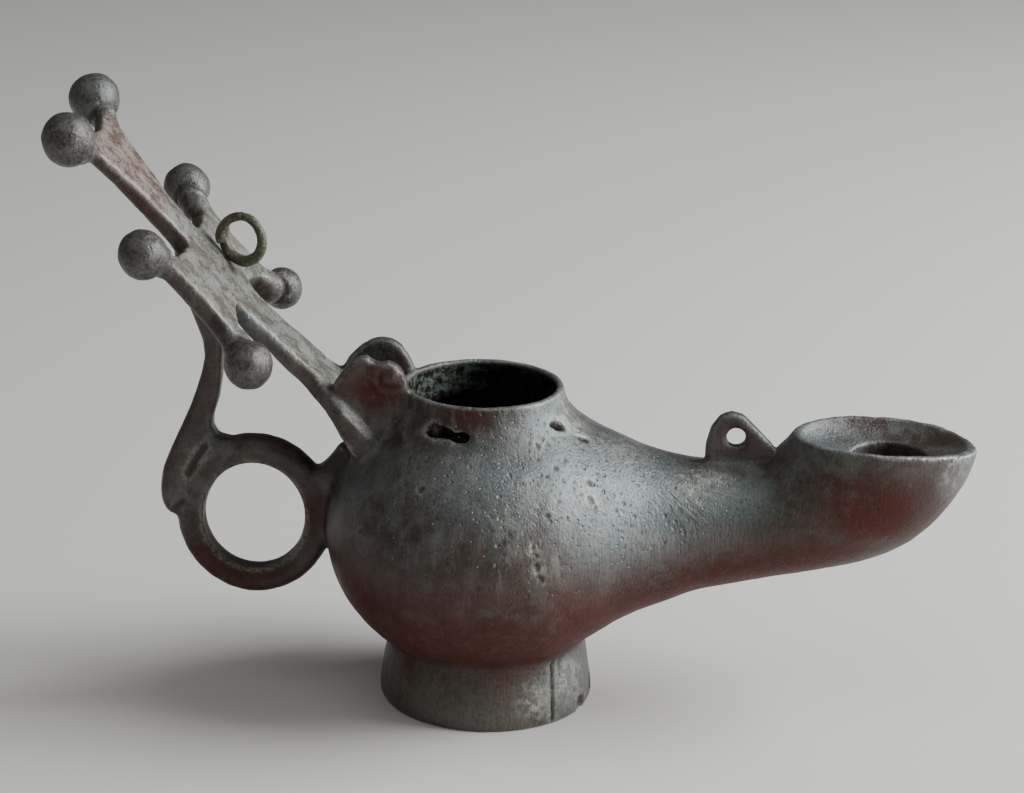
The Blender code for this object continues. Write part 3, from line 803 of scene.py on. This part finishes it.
def old_bronze():
    finish = Finish("old_bronze")
    black, white = (0.0, 0.0, 0.0, 1.0), (1.0, 1.0, 1.0, 1.0)
    mark = finish.attribute

    def times(first, second):
        return finish.math("MULTIPLY", first, second)

    along_spout = Vector((0.77, -0.30, -0.57)).rotation_difference(Vector((0.0, 0.0, 1.0))).to_euler()
    broad = finish.noise(0.06, 3.0)
    cloudy = finish.noise(0.25, 5.0, 0.62, warp=0.4)
    blotches = finish.noise(0.55, 6.0, 0.7)
    grain = finish.noise(1.4, 5.0, 0.7)
    streaks = finish.noise(1.0, 4.0, 0.62, stretch=(2.2, 2.2, 0.24))
    runs = finish.noise(0.4, 4.0, 0.6, stretch=(1.0, 1.0, 0.2))
    scratches = finish.noise(1.0, 3.0, 0.6, stretch=(1.5, 1.5, 0.12), turned=along_spout)
    dots, kinds = finish.cells(0.9)
    kind = finish.part("X", kinds)
    pocks, sizes = finish.cells(0.5)
    size = finish.part("X", sizes)
    colour = finish.mix(finish.ramp(broad, 0.4, 0.6), tone(78, 67, 60), tone(84, 85, 80))
    colour = finish.mix(finish.ramp(cloudy, 0.4, 0.62), tone(62, 50, 44), colour)
    # Dark patches: dark patina, with painted shade on the far hinge lug.
    colour = finish.mix(times(mark("dark_patina_and_shade"), 0.8), colour, tone(50, 40, 35))
    # Grey patina with a painted sheen, paler and more metallic, over the window's highlight.
    grey_and_sheen = times(mark("grey_and_sheen"), finish.ramp(streaks, 0.3, 0.62, 0.5, 1.0))
    colour = finish.mix(grey_and_sheen, colour, tone(107, 115, 116))
    run = times(times(mark("globe"), finish.ramp(runs, 0.5, 0.66)), 0.5)
    colour = finish.mix(run, colour, tone(118, 120, 116))
    # Reddish-brown patina, together with painted shade and a painted reddish reflection on the downward
    # faces.
    red = times(mark("red"), finish.ramp(blotches, 0.35, 0.6, 0.55, 1.0))
    colour = finish.mix(red, colour, tone(78, 35, 29))
    green = times(mark("green"), finish.ramp(blotches, 0.38, 0.62))
    colour = finish.mix(green, colour, tone(82, 106, 96))
    dusty = times(mark("foot"), finish.ramp(blotches, 0.36, 0.6, 0.05, 0.65))
    colour = finish.mix(dusty, colour, tone(92, 88, 77))
    upper = finish.ramp(finish.part("Z"), 0.096, 0.104)
    bare = finish.mix(upper, tone(96, 88, 80), tone(98, 76, 69))
    bright = finish.mix(upper, tone(136, 138, 131), tone(144, 131, 123))
    patches = finish.math("ADD", times(grain, 0.35), times(finish.noise(0.2, 6.0, 0.65), 0.65))
    # Paler tone of the cross's faces toward the window: partly their own filed colour, partly painted
    # light.
    face = finish.mix(finish.ramp(patches, 0.44, 0.56), bare, bright)
    on_face = times(mark("face"), finish.ramp(blotches, 0.3, 0.5, 0.6, 0.95))
    colour = finish.mix(on_face, colour, face)
    # Grey tone on the knobs: partly their own colour, partly a painted sheen for the highlights on their
    # tops.
    on_knobs = times(mark("knob"), finish.ramp(grain, 0.36, 0.62, 0.2, 0.8))
    colour = finish.mix(on_knobs, colour, tone(99, 98, 96))
    pale = times(mark("pale"), finish.ramp(blotches, 0.45, 0.6, 0.1, 0.9))
    colour = finish.mix(pale, colour, tone(158, 156, 146))
    shade = finish.ramp(grain, 0.3, 0.7, 0.66, 1.34)
    colour = finish.mix(1.0, colour, finish.mix(shade, black, white), "MULTIPLY")
    proud = times(mark("proud"), finish.ramp(grain, 0.4, 0.6, 0.1, 0.5))
    colour = finish.mix(proud, colour, tone(144, 142, 134))
    patchy = times(finish.ramp(blotches, 0.3, 0.6, 0.4, 1.0), finish.ramp(grain, 0.34, 0.56, 0.35, 1.0))
    # Pale convex edges: worn metal, brightened further as a painted highlight.
    colour = finish.mix(times(mark("edge"), patchy), colour, tone(146, 148, 147))
    speck = times(finish.ramp(dots, 0.2, 0.08), finish.ramp(kind, 0.8, 0.9))
    speck = times(speck, mark("globe"))
    colour = finish.mix(times(speck, 0.8), colour, tone(168, 164, 154))
    # Inside the lamp: mottled green patina over near black, the near black being painted shade in the
    # chamber.
    inside = finish.mix(finish.ramp(blotches, 0.52, 0.64), tone(14, 13, 12), tone(44, 62, 56))
    crust = times(mark("mouth"), finish.ramp(blotches, 0.42, 0.6))
    inside = finish.mix(crust, inside, tone(88, 96, 88))
    colour = finish.mix(mark("inside"), colour, inside)
    # Painted shade in creases and pits.
    colour = finish.mix(times(mark("crease_shade"), 0.7), colour, tone(38, 32, 28))
    colour = finish.mix(times(mark("pit"), 0.5), colour, tone(36, 30, 27))
    # Painted shade, near black, in the deep holes and cracks.
    colour = finish.mix(mark("deep"), colour, tone(10, 9, 8))
    finish.join(colour, finish.shader.inputs["Base Color"])
    shine = finish.math("MAXIMUM", mark("grey_and_sheen"), mark("edge"))
    shine = finish.math("MAXIMUM", shine, times(mark("knob"), 0.9))
    finish.join(finish.ramp(shine, 0.0, 1.0, 0.15, 0.46), finish.shader.inputs["Metallic"])
    dull = finish.math("MAXIMUM", mark("red"), times(mark("dark_patina_and_shade"), 0.5))
    dull = finish.math("MAXIMUM", dull, finish.math("MAXIMUM", mark("deep"), mark("inside")))
    finish.join(finish.ramp(dull, 0.0, 1.0, 0.55, 0.15), finish.shader.inputs["Specular IOR Level"])
    rough = finish.ramp(cloudy, 0.3, 0.7, 0.34, 0.44)
    rough = finish.math("ADD", rough, times(mark("crease_shade"), 0.3))
    rough = finish.math("ADD", rough, times(mark("pit"), 0.2))
    rough = finish.math("ADD", rough, times(dull, 0.08))
    rough = finish.math("SUBTRACT", rough, times(mark("edge"), 0.06))
    finish.join(rough, finish.shader.inputs["Roughness"])
    normal = finish.bump(streaks, 0.13)
    normal = finish.bump(grain, 0.12, normal)
    normal = finish.bump(times(scratches, mark("scratch")), 0.18, normal)
    pits = times(finish.ramp(dots, 0.32, 0.1), finish.ramp(kind, 0.4, 0.8))
    big = times(finish.ramp(pocks, 0.3, 0.1), finish.ramp(size, 0.6, 0.9))
    pits = finish.math("ADD", pits, times(big, 1.2))
    normal = finish.bump(times(pits, finish.ramp(mark("globe"), 0.0, 1.0, 0.35, 1.0)), -0.16, normal)
    finish.join(normal, finish.shader.inputs["Normal"])
    return finish.material


lamp.data.materials.clear()
lamp.data.materials.append(old_bronze())


def ring_bronze():
    finish = Finish("ring_bronze")
    cloudy = finish.noise(0.5, 4.0, 0.6)
    grain = finish.noise(2.0, 4.0, 0.65)
    colour = finish.mix(finish.ramp(cloudy, 0.42, 0.58), tone(74, 66, 54), tone(68, 80, 58))
    colour = finish.mix(finish.ramp(grain, 0.5, 0.7, 0.0, 0.7), colour, tone(150, 144, 122))
    finish.join(colour, finish.shader.inputs["Base Color"])
    finish.shader.inputs["Metallic"].default_value = 0.15
    finish.join(finish.ramp(cloudy, 0.3, 0.7, 0.4, 0.55), finish.shader.inputs["Roughness"])
    finish.join(finish.bump(grain, 0.12), finish.shader.inputs["Normal"])
    return finish.material


# The wire ring on the cross: its size, place and turn, and the angles where the wire begins and ends
RING_R = 4.55
RING_MIDDLE = on_cross(1.2, 4.5, 6.95)
RING_TURN = math.radians(26.0)
WIRE_R = 1.0
WIRE_FIRST = math.radians(148.0)
WIRE_LAST = math.radians(556.0)
WIRE_STEPS = 150
WIRE_VOXEL = 0.16


def bent_wire():
    """A ring of thick wire whose two ends overlap on its left."""
    shape = bpy.data.curves.new("suspension_wire", "CURVE")
    shape.dimensions = "3D"
    shape.bevel_depth = WIRE_R * MM
    shape.bevel_resolution = 5
    shape.use_fill_caps = True
    spline = shape.splines.new("POLY")
    spline.points.add(WIRE_STEPS)
    for k, point in enumerate(spline.points):
        part = k / WIRE_STEPS
        turn = WIRE_FIRST + (WIRE_LAST - WIRE_FIRST) * part
        over = max(0.0, part - 0.8) / 0.2
        radius = RING_R + 0.25 * over - 0.25 * max(0.0, 0.12 - part) / 0.12
        deep = 0.55 - 1.3 * over * over * (3.0 - 2.0 * over)
        across, rise = radius * math.cos(turn), radius * math.sin(turn)
        x = RING_MIDDLE[0] + across * math.cos(RING_TURN) + deep * math.sin(RING_TURN)
        y = RING_MIDDLE[1] - across * math.sin(RING_TURN) + deep * math.cos(RING_TURN)
        z = RING_MIDDLE[2] + rise
        point.co = ((x + SHIFT_X) * MM, y * MM, z * MM, 1.0)
        ends = min(part / 0.03, (1.0 - part) / 0.04, 1.0)
        thick = 1.0 + 0.18 * max(0.0, -math.sin(turn)) - 0.1 * max(0.0, math.sin(turn))
        point.radius = thick * (0.55 + 0.45 * ends)
    thing = put_in_scene("suspension_wire", shape)
    graph = bpy.context.evaluated_depsgraph_get()
    mesh = bpy.data.meshes.new_from_object(thing.evaluated_get(graph))
    bpy.data.objects.remove(thing)
    wire = put_in_scene("suspension_wire", mesh)
    even_skin(wire, WIRE_VOXEL)
    points = points_of(wire.data)
    edges = edges_of(wire.data)
    points = spread(points, edges, np.full(len(points), 0.6), 6)
    set_points(wire.data, points)
    normals = normals_of(wire.data)
    rough = 0.10 * rolling(points, 1.6, 91) + 0.05 * rolling(points, 0.6, 92)
    set_points(wire.data, points + normals * rough[:, None])
    for face in wire.data.polygons:
        face.use_smooth = True
    return wire


wire = bent_wire()
wire.data.materials.clear()
wire.data.materials.append(ring_bronze())
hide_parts("suspension_ring")
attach(wire, "root")


# Floor, lights and camera
def plain_floor():
    bm = bmesh.new()
    bmesh.ops.create_grid(bm, x_segments=1, y_segments=1, size=4.0)
    mesh = bpy.data.meshes.new("floor")
    bm.to_mesh(mesh)
    bm.free()
    floor = put_in_scene("floor", mesh)
    finish = Finish("floor")
    finish.shader.inputs["Base Color"].default_value = tone(214, 211, 206)
    finish.shader.inputs["Roughness"].default_value = 0.9
    floor.data.materials.append(finish.material)


def soft_light(name, place, aim, size, watts, colour=(1.0, 1.0, 1.0)):
    data = bpy.data.lights.new(name, "AREA")
    data.shape = "RECTANGLE"
    data.size, data.size_y = size
    data.energy = watts
    data.color = colour
    light = put_in_scene(name, data)
    turn = (Vector(aim) - Vector(place)).to_track_quat("-Z", "Y")
    light.matrix_world = Matrix.Translation(place) @ turn.to_matrix().to_4x4()


def camera_as_in_photo():
    """The camera's place and turn come from the circles of the foot, collar, rim and knobs."""
    place = Vector((0.020798, -0.531150, 0.239530))
    aim = Vector((-0.001186, 0.0, 0.063465))
    ahead = (aim - place).normalized()
    right = ahead.cross(Vector((0.0, 0.0, 1.0))).normalized()
    up = right.cross(ahead)
    roll = math.radians(1.24)
    turned_right = right * math.cos(roll) + up * math.sin(roll)
    turned_up = up * math.cos(roll) - right * math.sin(roll)
    data = bpy.data.cameras.new("camera")
    data.sensor_fit = "HORIZONTAL"
    data.sensor_width = 36.0
    data.lens = 99.1
    data.clip_start = 0.01
    data.clip_end = 50.0
    camera = put_in_scene("camera", data)
    turn = Matrix((turned_right, turned_up, -ahead)).transposed()
    camera.matrix_world = Matrix.Translation(place) @ turn.to_4x4()
    bpy.context.scene.camera = camera


plain_floor()
camera_as_in_photo()
soft_light("window", (0.86, 0.09, 0.56), (0.0, 0.0, 0.05), (0.7, 0.8), 23.0, (0.94, 0.98, 1.0))
soft_light("shelf", (0.42, -0.2, 0.06), (0.0, 0.0, 0.03), (0.3, 0.08), 0.55)
soft_light("ceiling", (-0.3, -0.35, 0.9), (0.0, 0.0, 0.05), (0.9, 0.9), 2.0)

world = bpy.data.worlds.new("room")
world.use_nodes = True
world.node_tree.nodes["Background"].inputs["Color"].default_value = tone(205, 204, 202)
world.node_tree.nodes["Background"].inputs["Strength"].default_value = 0.2
bpy.context.scene.world = world
